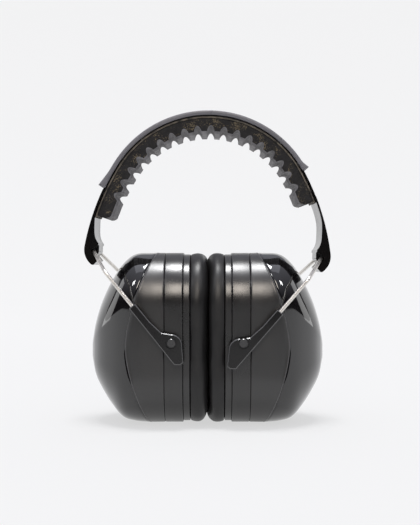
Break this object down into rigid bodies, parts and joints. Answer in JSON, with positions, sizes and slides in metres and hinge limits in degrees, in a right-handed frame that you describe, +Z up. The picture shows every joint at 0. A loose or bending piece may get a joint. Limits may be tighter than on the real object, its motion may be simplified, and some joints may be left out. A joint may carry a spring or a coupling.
{
  "type": "earmuff hearing protector",
  "caption": "Over-the-head earmuff hearing protector: deep black cups on bent wire yokes under a sprung, padded headband with a grey cover.",
  "frame": {"origin": "middle of the base, on the surface the cups stand on", "axes": "+X from the left cup to the right cup as seen from the front, +Y away from the front, +Z up"},
  "size_m": [0.1683, 0.1012, 0.2134],
  "materials": {
    "grey_cover": "matte moulded grey",
    "backing": "felt-like strip",
    "pad_foam": "open-cell corrugated foam",
    "band_black": "satin black sheath of the spring",
    "arm_black": "fine satin",
    "wire": "drawn stainless wire",
    "clip_black": "satin",
    "pin_black": "satin gloss",
    "shell_gloss": "high gloss dome, satin skirt",
    "shell_satin": "satin",
    "cushion": "smooth plastic skin",
    "inner_foam": "open-cell foam"
  },
  "bodies": {
    "headband": {"headband_cover": "grey_cover", "headband_pad_backing": "backing", "headband_pad": "pad_foam"},
    "left_band": {"left_band_spring": "band_black"},
    "left_arm": {"left_band_arm": "arm_black"},
    "left_yoke": {"left_wire_yoke": "wire"},
    "left_clips": {"left_front_clip": "clip_black", "left_rear_clip": "clip_black"},
    "left_cup": {"left_front_pin": "pin_black", "left_rear_pin": "pin_black", "left_cup_shell": "shell_gloss", "left_cup_ring": "shell_satin", "left_cushion_plate": "shell_satin", "left_ear_cushion": "cushion", "left_acoustic_foam": "inner_foam", "left_ear_cloth": "inner_foam"},
    "right_band": {"right_band_spring": "band_black"},
    "right_arm": {"right_band_arm": "arm_black"},
    "right_yoke": {"right_wire_yoke": "wire"},
    "right_clips": {"right_front_clip": "clip_black", "right_rear_clip": "clip_black"},
    "right_cup": {"right_front_pin": "pin_black", "right_rear_pin": "pin_black", "right_cup_shell": "shell_gloss", "right_cup_ring": "shell_satin", "right_cushion_plate": "shell_satin", "right_ear_cushion": "cushion", "right_acoustic_foam": "inner_foam", "right_ear_cloth": "inner_foam"}
  },
  "joints": [
    {"name": "left_spread", "type": "hinge", "parent": "headband", "child": "left_band", "pos_m": [0.00302, 0, 0.21126], "axis": [0, 1, 0], "range_deg": [0, 26], "stiffness_Nm_per_rad": 2.4, "springref_deg": -9.74, "deforming": ["left_band_spring", "headband_cover", "headband_pad_backing", "headband_pad"]},
    {"name": "left_fold_flex", "type": "hinge", "parent": "left_band", "child": "left_arm", "pos_m": [0.00302, 0, 0.21126], "axis": [0, 1, 0], "range_deg": [0, 11.7], "deforming": ["left_band_spring"]},
    {"name": "left_fold", "type": "hinge", "parent": "left_arm", "child": "left_yoke", "pos_m": [-0.07803, 0, 0.1172], "axis": [0, -1, 0], "range_deg": [0, 28]},
    {"name": "left_height", "type": "slide", "parent": "left_yoke", "child": "left_clips", "axis": [-0.625, 0, 0.7806], "range_m": [0, 0.012]},
    {"name": "left_tilt", "type": "hinge", "parent": "left_clips", "child": "left_cup", "pos_m": [-0.0236, 0, 0.0569], "axis": [0, 1, 0], "range_deg": [0, 17.3]},
    {"name": "right_spread", "type": "hinge", "parent": "headband", "child": "right_band", "pos_m": [0.00302, 0, 0.21126], "axis": [0, -1, 0], "range_deg": [0, 26.5], "stiffness_Nm_per_rad": 2.4, "springref_deg": -9.74, "deforming": ["right_band_spring", "headband_cover", "headband_pad_backing", "headband_pad"]},
    {"name": "right_fold_flex", "type": "hinge", "parent": "right_band", "child": "right_arm", "pos_m": [0.00302, 0, 0.21126], "axis": [0, -1, 0], "range_deg": [0, 11.7], "deforming": ["right_band_spring"]},
    {"name": "right_fold", "type": "hinge", "parent": "right_arm", "child": "right_yoke", "pos_m": [0.07789, 0, 0.11222], "axis": [0, 1, 0], "range_deg": [0, 28]},
    {"name": "right_height", "type": "slide", "parent": "right_yoke", "child": "right_clips", "axis": [0.6549, 0, 0.7557], "range_m": [0, 0.012]},
    {"name": "right_tilt", "type": "hinge", "parent": "right_clips", "child": "right_cup", "pos_m": [0.0236, 0, 0.0569], "axis": [0, -1, 0], "range_deg": [0, 17.3]}
  ],
  "couplings": [
    {"joint": "left_fold_flex", "follows": "left_fold", "ratio": 0.4},
    {"joint": "left_tilt", "follows": "left_fold", "ratio": 0.6},
    {"joint": "right_fold_flex", "follows": "right_fold", "ratio": 0.4},
    {"joint": "right_tilt", "follows": "right_fold", "ratio": 0.6},
    {"joint": "right_spread", "follows": "left_spread", "ratio": 1}
  ]
}
